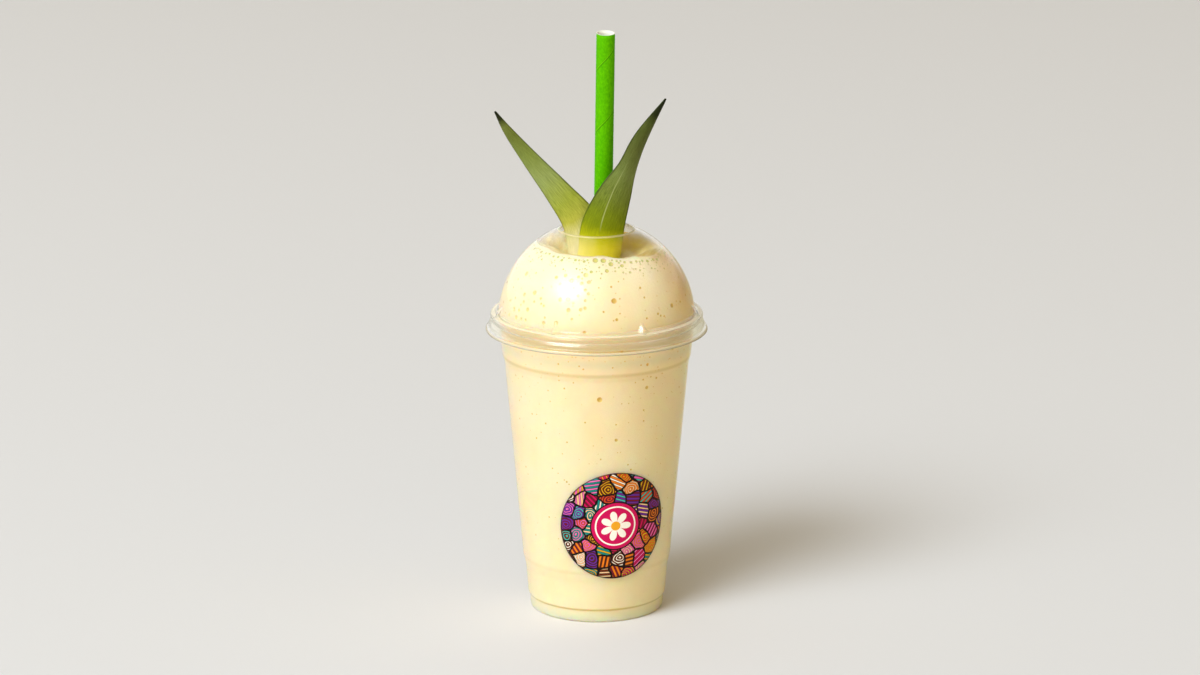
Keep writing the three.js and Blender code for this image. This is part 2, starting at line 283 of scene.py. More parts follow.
# Key light, in metres
KEY_TARGET = Vector((-0.013, -0.038, 0.16))
KEY_WAY = Vector((-0.49, -0.575, 0.655))
KEY_DISTANCE = 8.0
KEY_SIZE = (7.6, 5.6)
KEY_POWER = 700.0
KEY_COLOUR = (0.92, 0.985, 1.05)
# Brightness of the key from its middle to its rim
KEY_GLOW = [(0.0, 2.4), (0.18, 2.3), (0.28, 1.1), (0.38, 0.35), (0.5, 0.03)]

# Light of the studio on matt things, by where it comes from
LIGHT_BY_DEPTH = [(0.2, (1.26, 0.94, 0.56, 1)), (0.5, (0.38, 0.25, 0.09, 1)), (0.85, (0.56, 0.43, 0.25, 1))]
LIGHT_BY_RISE = [(0.5, 1.0), (0.62, 0.85), (0.78, 0.45), (1.0, 0.3)]
LIGHT_BY_SIDE = [(0.5, 1.0), (0.78, (0.91, 0.87, 0.54, 1)), (1.0, (0.5, 0.42, 0.13, 1))]
UPPER_LIGHT_BY_SIDE = [(0.5, 1.0), (0.75, (0.8, 0.76, 0.6, 1))]
TOP_LIGHT = (0.72, 0.7, 0.66, 1)
# The studio as it is seen and mirrored, by direction
SEEN_BY_DEPTH = [(0.3, (0.57, 0.5, 0.36, 1)), (0.5, (0.67, 0.61, 0.47, 1)), (0.7, 1.35)]
SEEN_BY_RISE = [(0.5, 1.0), (0.75, 0.8), (1.0, 0.6)]
SEEN_HIGH_BY_SIDE = [(0.3, 1.25), (0.5, 1.0), (0.66, 0.22)]
SEEN_LOW_BY_SIDE = [(0.68, 1.0), (0.8, 0.2)]
# A bright patch of the studio, high at the right, that the dome mirrors as a pale veil
VEIL_COLOUR = (2.4, 2.4, 2.7, 1)
WHITE = (1, 1, 1, 1)


# Profiles and grids

def fillet(points, radius, steps=4):
    """The points of an open profile with its inner corners rounded."""
    out = [points[0]]
    for before, corner, after in zip(points, points[1:], points[2:]):
        b, c, a = (np.array(p) for p in (before, corner, after))
        back, on = np.linalg.norm(b - c), np.linalg.norm(a - c)
        start = c + (b - c) / back * min(radius, 0.45 * back)
        end = c + (a - c) / on * min(radius, 0.45 * on)
        for i in range(steps + 1):
            t = i / steps
            out.append(tuple((1 - t) ** 2 * start + 2 * t * (1 - t) * c + t * t * end))
    out.append(points[-1])
    return out


def offset(points, distance):
    """An open profile moved to the left of the way it runs."""
    p = np.array(points, float)
    along = np.gradient(p, axis=0)
    along /= np.linalg.norm(along, axis=1)[:, None]
    return [tuple(q) for q in p + distance * np.stack([-along[:, 1], along[:, 0]], axis=1)]


def resample(points, step):
    """A profile with no stretch longer than step."""
    out = [points[0]]
    for a, b in zip(points, points[1:]):
        parts = max(1, math.ceil(math.dist(a, b) / step))
        for i in range(1, parts + 1):
            t = i / parts
            out.append(tuple(np.array(a) * (1 - t) + np.array(b) * t))
    return out


def arc(centre, radius, start, end, steps):
    """Points on a circle from one angle to another, in degrees."""
    turns = np.radians(np.linspace(start, end, steps + 1))
    return [(centre[0] + radius * math.cos(t), centre[1] + radius * math.sin(t)) for t in turns]


def even_angles(count):
    return np.arange(count) * 360.0 / count


def round_axis(radius, angles, z):
    """Points round the Z axis, at angles in radians."""
    return np.stack(np.broadcast_arrays(radius * np.sin(angles), -radius * np.cos(angles), z), axis=-1)


def turned(profile, angles):
    """The grid of a profile turned round the Z axis."""
    p = np.array(profile)
    return round_axis(p[:, :1], np.radians(angles), p[:, 1:])


def signed_volume(mesh):
    mesh.calc_loop_triangles()
    corners = np.array([t.vertices[:] for t in mesh.loop_triangles])
    place = np.array([v.co[:] for v in mesh.vertices])
    a, b, c = place[corners[:, 0]], place[corners[:, 1]], place[corners[:, 2]]
    return float(np.einsum("ij,ij->i", a, np.cross(b, c)).sum() / 6)


def in_scene(name, data):
    thing = bpy.data.objects.new(name, data)
    bpy.context.scene.collection.objects.link(thing)
    return thing


def new_object(name, verts, faces):
    """An object in the scene with a mesh of points in millimetres."""
    mesh = bpy.data.meshes.new(name)
    mesh.from_pydata((verts * MM).tolist(), [], faces)
    return in_scene(name, mesh)


def grid_mesh(name, points, wrap_rows=False, marks=None, kinds=None):
    """A smooth closed mesh over rows x columns x 3 points in millimetres. Columns always close on themselves,
    and the first and last rows are closed by fans unless the rows close on themselves too. marks are values
    at the points, and kinds are the materials of the strips between the rows."""
    rows, columns = points.shape[:2]
    verts = points.reshape(-1, 3)
    index = np.arange(rows * columns).reshape(rows, columns)
    after = np.roll(index, -1, axis=1)
    if wrap_rows:
        above, above_after = np.roll(index, -1, axis=0), np.roll(after, -1, axis=0)
        lower, lower_after = index, after
    else:
        lower, lower_after, above, above_after = index[:-1], after[:-1], index[1:], after[1:]
    faces = np.stack([lower, lower_after, above_after, above], axis=-1).reshape(-1, 4).tolist()
    materials = np.repeat(kinds or [0] * len(lower), columns).tolist()
    if not wrap_rows:
        verts = np.vstack([verts, points[0].mean(axis=0), points[-1].mean(axis=0)])
        first, last = rows * columns, rows * columns + 1
        for c in range(columns):
            faces.append([first, after[0, c], index[0, c]])
            faces.append([last, index[-1, c], after[-1, c]])
            materials += [materials[0], materials[-1]]
    piece = new_object(name, verts, faces)
    mesh = piece.data
    mesh.polygons.foreach_set("material_index", materials)
    for key, values in (marks or {}).items():
        flat = values.reshape(-1).tolist()
        if not wrap_rows:
            flat += [float(values[0].mean()), float(values[-1].mean())]
        mesh.attributes.new(key, "FLOAT", "POINT").data.foreach_set("value", flat)
    if signed_volume(mesh) < 0:
        mesh.flip_normals()
    mesh.shade_smooth()
    return piece


# Shader nodes

def empty_tree(data):
    data.use_nodes = True
    data.node_tree.nodes.clear()
    return data.node_tree


def new_material(name):
    material = bpy.data.materials.new(name)
    return material, empty_tree(material)


def add(tree, kind, settings=None, **inputs):
    """A shader node with its settings and inputs set. An input that is a socket is linked."""
    node = tree.nodes.new("ShaderNode" + kind)
    for key, value in (settings or {}).items():
        setattr(node, key, value)
    for key, value in inputs.items():
        put(node.inputs[key.replace("_", " ")], value)
    return node


def tree_of(*values):
    """The node tree of the first socket among some values."""
    return next(value.id_data for value in values if isinstance(value, bpy.types.NodeSocket))


def put(socket, value):
    if isinstance(value, bpy.types.NodeSocket):
        socket.id_data.links.new(value, socket)
    else:
        socket.default_value = value


def fill(node, *values):
    """Puts values into a node's first inputs, in their order."""
    for socket, value in zip(node.inputs, values):
        put(socket, value)
    return node.outputs[0]


def maths(operation, *values):
    return fill(add(tree_of(*values), "Math", {"operation": operation}), *values)


def added(first, second):
    return maths("ADD", first, second)


def times(first, second):
    return maths("MULTIPLY", first, second)


def gap_to(value, middle):
    """How far a value lies from middle, on either side."""
    return maths("ABSOLUTE", maths("SUBTRACT", value, middle))


def length_of(x, y):
    squares = added(maths("POWER", x, 2.0), maths("POWER", y, 2.0))
    return maths("SQRT", squares)


def distance_to(place, point):
    node = add(place.id_data, "VectorMath", {"operation": "DISTANCE"})
    fill(node, place, point)
    return node.outputs["Value"]


def mixed(share, first, second, how="MIX"):
    node = add(tree_of(share, first, second), "Mix", {"data_type": "RGBA", "blend_type": how})
    for i, value in ((0, share), (6, first), (7, second)):
        put(node.inputs[i], value)
    return node.outputs[2]


def tinted(share, colour, tint):
    """A colour, and by share the colour multiplied by a tint."""
    return mixed(share, colour, tint, "MULTIPLY")


def mixed_shader(share, first, second):
    return fill(add(share.id_data, "MixShader"), share, first, second)


def ramp(factor, stops, how="LINEAR"):
    """A colour ramp. stops are (position, colour), and a plain number is a grey."""
    node = add(factor.id_data, "ValToRGB", Fac=factor)
    node.color_ramp.interpolation = how
    elements = node.color_ramp.elements
    while len(elements) < len(stops):
        elements.new(0.5)
    for element, (position, colour) in zip(elements, stops):
        element.position = position
        element.color = (colour, colour, colour, 1) if isinstance(colour, (int, float)) else colour
    return node.outputs["Color"]


def linear(part):
    """One part of a colour, given as it looks from 0 to 255, as the value that shaders use."""
    part /= 255
    return part / 12.92 if part <= 0.04045 else ((part + 0.055) / 1.055) ** 2.4


def rgb(red, green, blue):
    return (linear(red), linear(green), linear(blue), 1.0)


def shown(stops):
    """Stops for a ramp, of colours from 0 to 255."""
    return [(position, rgb(*colour)) for position, colour in stops]


def mark_of(tree, name):
    """A value that the mesh holds at each of its points."""
    return add(tree, "Attribute", {"attribute_name": name}).outputs["Fac"]


def place_of(tree, stretch=(1, 1, 1)):
    """The point on the object in millimetres, each axis scaled by stretch."""
    coordinate = add(tree, "TexCoord").outputs["Object"]
    mapping = add(tree, "Mapping", Vector=coordinate, Scale=[s / MM for s in stretch])
    return mapping.outputs[0]


def noise_of(place, size, detail=3.0, roughness=0.5):
    """Soft noise whose patches are about size across."""
    node = add(place.id_data, "TexNoise", Vector=place, Scale=1 / size, Detail=detail, Roughness=roughness)
    return node.outputs["Fac"]


def bumped(height, distance):
    """A normal from a height that runs from 0 to 1, for a relief of distance in millimetres."""
    return add(height.id_data, "Bump", Height=height, Distance=distance * MM, Strength=1.0).outputs[0]


def surfaced(material, shader):
    add(material.node_tree, "OutputMaterial", Surface=shader)
    return material


def painted(material, colour, roughness, gloss=0.5, **inputs):
    """The material with one shader all over it."""
    shader = add(
        material.node_tree, "BsdfPrincipled", Base_Color=colour, Roughness=roughness,
        Specular_IOR_Level=gloss, **inputs,
    )
    return surfaced(material, shader.outputs[0])


# Materials

def clear_plastic(name, tint, roughness, clearness, bend):
    """Thin clear plastic. It lets light from lamps and from the drink straight through, as a thin wall does,
    and a little less of it at a slant and in the thick rim."""
    material, tree = new_material(name)
    place = place_of(tree, (1, 1, 0.5))
    fine = times(noise_of(place, 2.4, 1.0), 0.6)
    height = added(noise_of(place, 9.0, 2.0), fine)
    glass = add(
        tree, "BsdfPrincipled", Base_Color=tint, Roughness=roughness, IOR=bend,
        Transmission_Weight=clearness, Normal=bumped(height, 0.06),
    )
    slant = add(tree, "LayerWeight", Blend=0.5).outputs["Facing"]
    passed = ramp(slant, [(0.3, 0.97), (0.75, 0.86), (1.0, 0.3)])
    passed = tinted(mark_of(tree, "rim"), passed, THICK_TINT)
    through = add(tree, "BsdfTransparent", Color=passed).outputs[0]
    path = add(tree, "LightPath").outputs
    shader = glass.outputs[0]
    for ray in ("Is Diffuse Ray", "Is Shadow Ray"):
        shader = mixed_shader(path[ray], shader, through)
    return surfaced(material, shader)


def depth_of_colour(tree, place):
    """How deep the drink's colour is: in wide patches, in upright streaks and in fine specks."""
    tall = place_of(tree, (1, 1, 0.3))
    patches = ramp(noise_of(place, 22.0, 4.0, 0.55), [(0.35, 0.0), (0.7, 1.0)])
    streaks = ramp(noise_of(tall, 6.0, 3.0, 0.6), [(0.45, 0.0), (0.8, 1.0)])
    specks = ramp(noise_of(place, 0.7, 1.0), [(0.62, 0.0), (0.78, 1.0)])
    share = times(patches, 0.5)
    share = added(share, times(streaks, 0.3))
    share = added(share, times(specks, 0.35))
    return maths("MINIMUM", share, 1.0)


def swirl_of(tree, place):
    """Coordinates that run round the Z axis in a slow spiral, for streaks left by stirring."""
    axes = add(tree, "SeparateXYZ", Vector=place).outputs
    radius = length_of(axes[0], axes[1])
    turn = maths("MULTIPLY_ADD", radius, SWIRL_WINDING, maths("ARCTAN2", axes[1], axes[0]))
    lane = add(
        tree, "CombineXYZ", X=maths("DIVIDE", radius, STREAK_WIDTH),
        Y=times(maths("COSINE", turn), SWIRL_SWING),
        Z=times(maths("SINE", turn), SWIRL_SWING),
    )
    return lane.outputs[0]


def with_shaded_places(place, colour):
    """The drink's colour with painted shade in places, whose edges are uneven."""
    for centre, reach, tint in SHADED_PLACES:
        uneven = maths("MULTIPLY_ADD", noise_of(place, 4.0, 2.0), 6.0, -3.0)
        share = maths("DIVIDE", added(distance_to(place, centre), uneven), reach)
        colour = tinted(ramp(share, [(0.2, 1.0), (1.0, 0.0)], "EASE"), colour, rgb(*tint))
    return colour


# Painted shade in bands round the wall, at the heights of its steps, the rim and the ring
def with_shade_bands(height, colour):
    for centre, half, strength, tint in SHADE_BANDS:
        share = maths("DIVIDE", gap_to(height, centre), half)
        colour = tinted(ramp(share, [(0.0, strength), (1.0, 0.0)], "EASE"), colour, rgb(*tint))
    return colour


def drink_material(name, pale, deep, foaminess, swirl, gloss, subsurface, scatter):
    """Creamy blended drink, a little uneven, with fine specks, and paler with foam in the dome. Painted shade
    darkens it in bands and in places.
    """
    material, tree = new_material(name)
    place = place_of(tree)
    height = add(tree, "SeparateXYZ", Vector=place).outputs["Z"]
    colour = mixed(depth_of_colour(tree, place), rgb(*pale), rgb(*deep))
    foam = add(tree, "MapRange", Value=height, From_Min=FOAM_FROM, From_Max=FOAM_TO, To_Max=foaminess)
    colour = mixed(foam.outputs[0], colour, rgb(*FOAM_COLOUR))
    folds = noise_of(swirl_of(tree, place), 1.0, 3.0, 0.6)
    folds = ramp(folds, [(0.4, 0.0), (0.56, swirl), (0.62, 0.2 * swirl), (0.72, 0.7 * swirl)])
    colour = tinted(folds, colour, rgb(*STREAK_COLOUR))
    colour = with_shade_bands(height, with_shaded_places(place, colour))
    return painted(
        material, colour, 0.4, gloss, Normal=bumped(noise_of(place, 1.4, 3.0), 0.08),
        Subsurface_Weight=subsurface, Subsurface_Radius=DRINK_SCATTER, Subsurface_Scale=scatter * MM,
    )


def bubble_material():
    """A bubble's pit: orange and darker towards its middle, painted shade of the hollow; greener in the froth
    at the top, and paler towards the rim.
    """
    material, tree = new_material("bubble_pit")
    deep = mark_of(tree, "deep")
    orange, green = (ramp(deep, shown(stops)) for stops in (BUBBLE_ORANGES, BUBBLE_GREENS))
    colour = mixed(mark_of(tree, "froth"), orange, green)
    colour = mixed(mark_of(tree, "faint"), colour, rgb(*FAINT_COLOUR))
    return painted(
        material, colour, 0.35, 0.15,
        Subsurface_Weight=0.4, Subsurface_Radius=DRINK_SCATTER, Subsurface_Scale=3.0 * MM,
    )


def straw_green():
    """Bright green paper with fine fibres, a painted shadow line along the strip's edge and a painted
    highlight line above it.
    """
    material, tree = new_material("straw_green")
    fibres = noise_of(place_of(tree, (1, 1, 0.6)), 0.8, 4.0, 0.6)
    colour = mixed(ramp(fibres, [(0.3, 0.0), (0.7, 1.0)]), rgb(72, 165, 0), rgb(99, 194, 0))
    # Painted shadow along the seam
    colour = mixed(mark_of(tree, "seam"), colour, rgb(30, 104, 0))
    # Painted highlight along the strip's edge above the seam
    colour = mixed(mark_of(tree, "edge"), colour, rgb(118, 206, 20))
    return painted(material, colour, 0.6, 0.04, Normal=bumped(fibres, 0.03))


def straw_white():
    """The straw's white paper, inside and along its cut edge."""
    material, tree = new_material("straw_white")
    fibres = noise_of(place_of(tree), 0.5, 4.0, 0.6)
    colour = mixed(fibres, rgb(232, 236, 222), rgb(250, 251, 246))
    return painted(material, colour, 0.8, Normal=bumped(fibres, 0.04))


def leaf_noise(tree, along, across, finer_along, finer_across, detail, roughness):
    """Noise drawn out along the leaf."""
    lane = add(tree, "CombineXYZ", X=times(across, finer_across), Y=times(along, finer_along))
    return noise_of(lane.outputs[0], 1.0, detail, roughness)


def leaf_blade(tree, along, across, stops, veins):
    """The leaf's colour from foot to tip, darker between its veins and in fine mottles."""
    wander = maths("SUBTRACT", noise_of(place_of(tree), 9.0, 3.0), 0.5)
    body = ramp(added(along, times(wander, 0.05)), shown(stops))
    dark = tinted(ramp(along, [(0.16, 0.22), (0.36, 0.3)]), body, rgb(70, 88, 22))
    colour = mixed(ramp(veins, [(0.35, 0.0), (0.7, 1.0)]), dark, body)
    mottles = ramp(leaf_noise(tree, along, across, 22.0, 48.0, 4.0, 0.7), [(0.42, 0.0), (0.58, 0.75)])
    mottles = times(mottles, ramp(along, [(0.2, 0.2), (0.4, 1.0)]))
    return tinted(mottles, colour, rgb(178, 188, 148))


def with_lines(along, across, colour, strength):
    """The leaf's colour with a thin pale streak that crosses it, and a dark margin above its foot."""
    lie = added(across, maths("MULTIPLY_ADD", along, 0.86, -0.15))
    streak = ramp(maths("ABSOLUTE", lie), [(0.0, strength), (0.04, 0.0)])
    reach = ramp(along, [(0.3, 0.0), (0.36, 1.0), (0.6, 0.7), (0.74, 0.0)])
    colour = mixed(times(streak, reach), colour, rgb(206, 212, 150))
    edge = ramp(maths("ABSOLUTE", across), [(0.9, 0.0), (0.985, 0.75)])
    edge = times(edge, ramp(along, [(0.24, 0.0), (0.42, 1.0)]))
    return mixed(edge, colour, rgb(46, 58, 12))


def with_foot(along, across, colour, strength):
    """The leaf's colour with a foot that is pale at its left, and brown painted shade in its right corner."""
    left = ramp(maths("MULTIPLY_ADD", across, -0.9, 0.05), [(0.0, 0.0), (1.0, strength)])
    pale = times(ramp(along, [(0.16, 0.85), (0.27, 0.0)]), left)
    colour = mixed(pale, colour, rgb(254, 248, 176))
    # Brown painted shade in the foot's right corner
    right = ramp(across, [(0.6, 0.0), (1.0, strength)])
    corner = times(ramp(along, [(0.17, 1.0), (0.21, 0.3), (0.3, 0.0)]), right)
    return mixed(corner, colour, rgb(124, 102, 2))


def leaf_material(name, stops, streak_strength, foot_strength):
    """A ribbed leaf, coloured by stops from its foot to its tip."""
    material, tree = new_material(name)
    along, across = mark_of(tree, "along"), mark_of(tree, "across")
    veins = leaf_noise(tree, along, across, 3.0, 20.0, 5.0, 0.65)
    colour = leaf_blade(tree, along, across, stops, veins)
    colour = with_lines(along, across, colour, streak_strength)
    colour = with_foot(along, across, colour, foot_strength)
    return painted(
        material, colour, 0.5, 0.12, Normal=bumped(veins, 0.12),
        Subsurface_Weight=0.1, Subsurface_Radius=(0.5, 0.8, 0.2), Subsurface_Scale=1.0 * MM,
    )


def sticker_blobs(tree, side, height):
    """A dense pattern of ringed and striped blobs with dark outlines."""
    flat = add(tree, "CombineXYZ", X=side, Y=height).outputs[0]
    sway = add(tree, "TexNoise", Vector=flat, Scale=5.0, Detail=1.0).outputs["Color"]
    bent = fill(add(tree, "VectorMath", {"operation": "MULTIPLY_ADD"}), sway, (0.1, 0.1, 0.0), flat)
    cells, border = (
        add(
            tree, "TexVoronoi", {"voronoi_dimensions": "2D", "feature": feature}, Vector=bent,
            Scale=BLOB_SCALE, Randomness=BLOB_RANDOMNESS,
        )
        for feature in ("F1", "DISTANCE_TO_EDGE")
    )
    chance = add(tree, "SeparateColor", Color=cells.outputs["Color"]).outputs
    rings = maths("SINE", times(cells.outputs["Distance"], 34.0))
    turn = times(chance[2], 6.28)
    slope = times(side, maths("COSINE", turn))
    slope = added(slope, times(height, maths("SINE", turn)))
    stripes = maths("SINE", times(slope, 88.0))
    wave = mixed(maths("GREATER_THAN", chance[2], 0.45), rings, stripes)
    fills = ramp(chance[0], shown(BLOB_COLOURS), "CONSTANT")
    marks = ramp(chance[1], shown(MARK_COLOURS), "CONSTANT")
    colour = mixed(maths("GREATER_THAN", wave, MARK_FROM), fills, marks)
    thin = ramp(gap_to(wave, MARK_FROM), [(0.22, 1.0), (0.42, 0.0)])
    outline = ramp(border.outputs["Distance"], [(0.06, 1.0), (0.09, 0.0)])
    return mixed(maths("MAXIMUM", thin, outline), colour, rgb(14, 6, 8))


def sticker_middle(side, height, distance):
    """A daisy on a plain disc with a thin white ring."""
    white = rgb(252, 250, 246)
    around = maths("ARCTAN2", height, side)
    petal = maths("ABSOLUTE", maths("COSINE", times(around, PETAL_COUNT / 2)))
    reach = maths("MULTIPLY_ADD", maths("SQRT", petal), 0.24, 0.04)
    disc = mixed(maths("LESS_THAN", distance, reach), rgb(206, 10, 92), white)
    disc = mixed(maths("LESS_THAN", distance, 0.085), disc, rgb(240, 170, 40))
    return mixed(maths("LESS_THAN", gap_to(distance, 0.36), 0.014), disc, white)


def sticker_material():
    """Printed paper: blobs round a plain disc, with a dark rim."""
    material, tree = new_material("sticker_paper")
    side, height = mark_of(tree, "side"), mark_of(tree, "height")
    distance = length_of(side, height)
    colour = sticker_blobs(tree, side, height)
    colour = mixed(maths("LESS_THAN", distance, 0.46), colour, rgb(28, 14, 18))
    middle = sticker_middle(side, height, distance)
    colour = mixed(maths("LESS_THAN", distance, 0.435), colour, middle)
    colour = mixed(ramp(distance, [(0.975, 0.0), (0.985, 0.8)]), colour, rgb(40, 20, 24))
    return painted(material, colour, 0.4, 0.15)


# Pieces

def dress(piece, node, slot, *materials):
    """Gives a piece its materials, hangs it under the root body and hides the CAD node that it stands for."""
    for material in materials:
        piece.data.materials.append(material)
    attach(piece, "root")
    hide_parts(node)
    return piece


def make_cup(plastic):
    side = fillet(CUP_SIDE, CUP_FILLET) + arc(ROLL_CENTRE, ROLL_HOLLOW_R, ROLL_START, ROLL_END, ROLL_STEPS)
    outside = resample(side, CUP_STEP)
    inside = offset(outside, CUP_WALL)[::-1]
    points = turned(outside + inside, even_angles(CUP_COLUMNS))
    rim = (points[..., 2] > RIM_FROM_Z) * 1.0
    piece = grid_mesh("cup_clear", points, marks={"rim": rim})
    return dress(piece, "cup", "clear_plastic", plastic)


def dome_radius(z):
    return DOME_R * np.sqrt(1 - ((z - DOME_CENTRE_Z) / DOME_RISE) ** 2)


def dome_height(r):
    return DOME_CENTRE_Z + DOME_RISE * math.sqrt(1 - (r / DOME_R) ** 2)


def dome_side(start_z, end_z, steps):
    """Points up the dome's outer side, evenly spaced along its curve."""
    first, last = (math.asin((z - DOME_CENTRE_Z) / DOME_RISE) for z in (start_z, end_z))
    turns = np.linspace(first, last, steps + 1)
    return [(DOME_R * math.cos(t), DOME_CENTRE_Z + DOME_RISE * math.sin(t)) for t in turns]


def lug_angles():
    """Angles round the lid, close together over each lug."""
    angles = []
    for i in range(LUG_COUNT):
        start = LUG_START + 360 * i / LUG_COUNT
        half = math.degrees(LUG_HALF_WIDTH * LUG_MARGIN / DOME_R)
        angles += list(start + np.linspace(-half, half, LUG_COLUMNS))
        angles += list(start + np.linspace(half, 360 / LUG_COUNT - half, BETWEEN_COLUMNS)[1:-1])
    return np.array(angles)


def lug_push(points):
    """Pushes a grid outwards where a lug stands out of the dome's foot, further at the lug's own foot."""
    z = points[..., 2]
    turn = np.degrees(np.arctan2(points[..., 0], -points[..., 1]))
    step = 360 / LUG_COUNT
    off = (turn - LUG_START + step / 2) % step - step / 2
    side = np.radians(off) * DOME_R / LUG_HALF_WIDTH
    radius = np.hypot(points[..., 0], points[..., 1])
    slope = np.clip((LUG_TOP_Z - z) / (LUG_TOP_Z - DOME_FOOT_Z), 0, 1)
    bump = np.clip(LUG_FULLNESS * slope - np.abs(side), 0, 1)
    bump *= np.clip(LUG_REACH_R - radius, 0, 1) * (z > LUG_FOOT_Z)
    grown = 1 + LUG_RISE * bump / radius
    points[..., 0] *= grown
    points[..., 1] *= grown
    return points


def lid_material_at(r, z):
    """0 for the dome and the skirt, 1 for the ring, 2 for the lip and the crown, 3 for the hole's bead."""
    if r < HOLE_R - BEAD_WIDTH:
        return 3
    if r > LID_RING[0][0] - LIP_WIDTH or (r > CROWN_START[0] and z > CROWN_START[1]):
        return 2
    return int(SKIRT_TOP_Z < z < DOME_FOOT_Z)


def hole_bead(outside, inside):
    """The rounded edge of the hole, from the end of the lid's outer side to the start of its inner one."""
    before, end, after = (np.array(point) for point in (outside[-2], outside[-1], inside[0]))
    way = math.degrees(math.atan2(*(end - before)[::-1]))
    middle = (end + after) / 2
    return arc(middle, HOLE_BEAD_R, way - BEAD_WRAP, way + BEAD_WRAP + 180, BEAD_STEPS)


def make_lid(plastic, cloudy, edge, bead_plastic):
    """The dome lid. Its ring is a little cloudy, and its lip, its crown and the bead of its hole more so."""
    foot = dome_side(DOME_FOOT_Z, LUG_TOP_Z + LUG_ROOM, DOME_FOOT_STEPS)
    dome = dome_side(LUG_TOP_Z + LUG_ROOM, dome_height(HOLE_R), DOME_STEPS)
    ring = fillet([*LID_RING, foot[0]], LID_FILLET)
    outside = resample(ring, LID_STEP) + foot[1:] + dome[1:]
    inside = offset(outside, LID_WALL)[::-1]
    profile = outside + hole_bead(outside, inside) + inside
    points = turned(profile, lug_angles())
    z = points[..., 2]
    rim = np.clip((z - LID_RING[0][1]) / RING_FADE, RING_LEAST, 1) * (z < DOME_FOOT_Z - RING_ROOM)
    kinds = [lid_material_at(*point) for point in profile]
    piece = grid_mesh("lid_clear", lug_push(points), wrap_rows=True, marks={"rim": rim}, kinds=kinds)
    return dress(piece, "lid", "clear_plastic", plastic, cloudy, edge, bead_plastic)


def contact_height(angles):
    """Where the drink meets the dome, at each angle: it stands a little higher at the left."""
    side = np.sin(np.radians(angles))
    height = DRINK_LEVEL + np.where(side < 0, -side * LEVEL_LEFT_RISE, -side * LEVEL_RIGHT_FALL)
    for rise, count, start in CONTACT_WAVES:
        height = height + rise * np.sin(np.radians(angles * count + start))
    return height


def surface_relief(x, y):
    """Low lumps and folds of the drink's top, in millimetres."""
    lumps = noise.noise(Vector((x / LUMP_SIZE, y / LUMP_SIZE, 3.0)))
    radius = math.hypot(x, y)
    turn = math.atan2(y, x) + SWIRL_WINDING * radius
    swing = (SWIRL_SWING * math.cos(turn), SWIRL_SWING * math.sin(turn))
    folds = 0.5 - abs(noise.noise(Vector((radius / FOLD_WIDTH, *swing))))
    grain = noise.noise(Vector((x / GRAIN_SIZE, y / GRAIN_SIZE, 1.0)))
    return LUMP_HEIGHT * lumps + FOLD_HEIGHT * folds + GRAIN_HEIGHT * grain


def drink_grid():
    """The drink's whole skin: the cup's inside, the dome up to the contact line, and the bowl of the top.
    Also how many of its rows lie under the clear wall."""
    angles = even_angles(DRINK_COLUMNS)
    side = resample(offset(fillet(CUP_SIDE, CUP_FILLET), DRINK_REACH), CUP_STEP)
    side.append((side[-1][0], ROLL_CENTRE[1]))
    contact = contact_height(angles)
    rows = [turned(side, angles)]
    for t in np.linspace(0, 1, DRINK_DOME_ROWS):
        z = DOME_FOOT_Z + (contact - DOME_FOOT_Z) * t
        rows.append(round_axis(dome_radius(z) - LID_REACH, np.radians(angles), z)[None])
    under_wall = len(side) + DRINK_DOME_ROWS
    edge = dome_radius(contact) - LID_REACH
    for u in np.linspace(0, 1, DRINK_TOP_ROWS)[1:-1]:
        r = edge * (1 - u)
        share = np.clip((edge - r) / (edge - BOWL_FLAT_R), 0, 1)
        z = contact - BOWL_DEPTH * (1 - np.cos(np.pi * share)) / 2
        row = round_axis(r, np.radians(angles), z)
        weight = min(1.0, u / RELIEF_WHOLE_AT)
        row[:, 2] += [weight * surface_relief(x, y) for x, y in row[:, :2]]
        rows.append(row[None])
    return np.vstack(rows), under_wall


def skin_radius(z):
    """The radius of the drink's skin under the clear wall at a height."""
    if z > DOME_FOOT_Z:
        return float(dome_radius(z)) - LID_REACH
    side = np.array(CUP_SIDE[4:] + [(DOME_R, DOME_FOOT_Z)])
    return float(np.interp(z, side[:, 1], side[:, 0])) - DRINK_REACH


def skin_normal(place):
    """The way out of the drink's skin at a place under the clear wall."""
    step = 0.4
    slope = (skin_radius(place.z + step) - skin_radius(place.z - step)) / (2 * step)
    flat = Vector((place.x, place.y, 0)).normalized()
    return Vector((flat.x, flat.y, -slope)).normalized()


